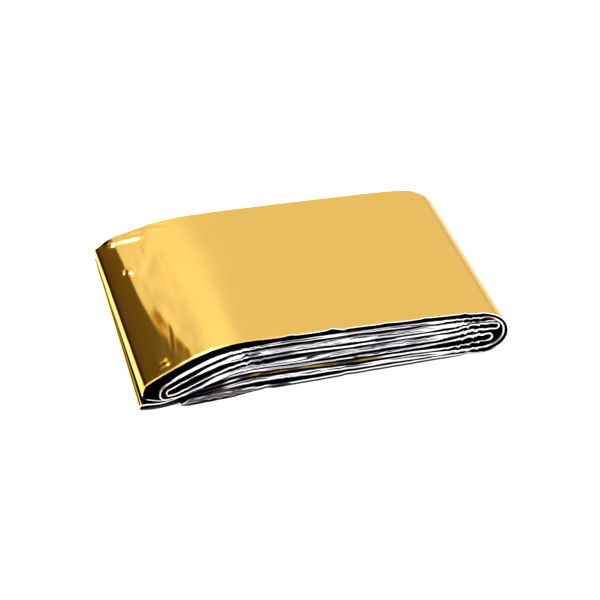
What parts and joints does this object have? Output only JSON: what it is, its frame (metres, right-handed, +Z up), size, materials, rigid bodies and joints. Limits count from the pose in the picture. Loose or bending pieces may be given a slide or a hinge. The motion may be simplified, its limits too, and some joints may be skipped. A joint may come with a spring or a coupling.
{
  "type": "folded emergency foil blanket",
  "caption": "Rescue blanket of thin metallised film, gold outside and silver inside, pleated into a strip and folded back and forth into a flat pack.",
  "frame": {"origin": "on the ground, under the middle of the pack", "axes": "+X along the pack from its thin left end to its round right end, +Y from front to back, +Z up"},
  "size_m": [0.1252, 0.0837, 0.0208],
  "materials": {
    "film": "metallised polyester film, bright gold outside and bright silver inside, smooth with soft creases"
  },
  "bodies": {
    "root": {"blanket": "film"}
  },
  "joints": []
}
